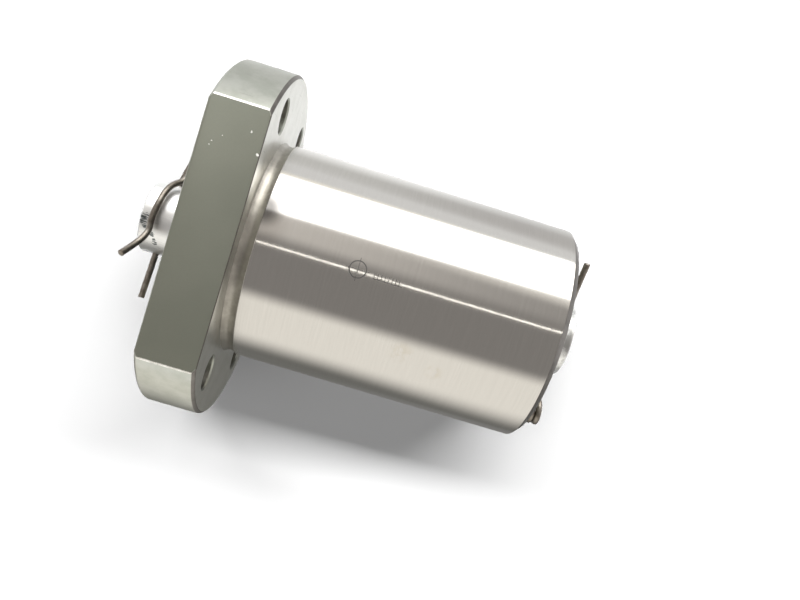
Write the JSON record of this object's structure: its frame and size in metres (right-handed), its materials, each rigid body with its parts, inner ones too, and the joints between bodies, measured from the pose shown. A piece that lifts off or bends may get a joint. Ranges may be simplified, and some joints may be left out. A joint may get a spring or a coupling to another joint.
{
  "type": "ball screw nut",
  "caption": "Flanged ball screw nut with return tubes, held on a tubular shipping mandrel by a spring R-clip at each end.",
  "frame": {"origin": "middle of the whole assembly's box: on the screw axis, halfway along the mandrel", "axes": "+X along the screw axis from the flange towards the nose, +Y along the flange's long direction, +Z out of one of the flange's two flats; the return tubes are on the -Z side"},
  "size_m": [0.1208, 0.096, 0.072],
  "materials": {
    "ground_steel": "ground, fine circumferential marks",
    "mandrel_aluminium": "bright drawn, scratched",
    "spring_steel": "dark drawn wire",
    "ball_steel": "polished",
    "tube_steel": "drawn",
    "clamp_steel": "pressed sheet",
    "black_oxide": "black oxide",
    "seal_plastic": "matte moulded"
  },
  "bodies": {
    "nut": {"nut_body": "ground_steel", "seal_flange": "seal_plastic", "seal_nose": "seal_plastic", "grease_plug": "black_oxide", "return_tube_flange_side": "tube_steel", "loaded_balls_flange_side": "ball_steel", "returning_balls_flange_side": "ball_steel", "tube_clamp_flange_side": "clamp_steel", "clamp_screw_flange_side_1": "black_oxide", "clamp_screw_flange_side_2": "black_oxide", "return_tube_nose_side": "tube_steel", "loaded_balls_nose_side": "ball_steel", "returning_balls_nose_side": "ball_steel", "tube_clamp_nose_side": "clamp_steel", "clamp_screw_nose_side_1": "black_oxide", "clamp_screw_nose_side_2": "black_oxide", "seal_set_screw_flange_1": "black_oxide", "seal_set_screw_nose_1": "black_oxide", "seal_set_screw_nose_2": "black_oxide"},
    "mandrel": {"mandrel": "mandrel_aluminium"},
    "flange_clip": {"clip_flange": "spring_steel"},
    "nose_clip": {"clip_nose": "spring_steel"}
  },
  "joints": [
    {"name": "mandrel_slide", "type": "slide", "parent": "nut", "child": "mandrel", "axis": [1, 0, 0], "range_m": [0, 0.0045]},
    {"name": "clip_flange_pull", "type": "slide", "parent": "mandrel", "child": "flange_clip", "axis": [0, 0.9903, -0.1392], "range_m": [0, 0.035]},
    {"name": "clip_nose_pull", "type": "slide", "parent": "mandrel", "child": "nose_clip", "axis": [0, -0.9397, 0.342], "range_m": [0, 0.035]}
  ]
}
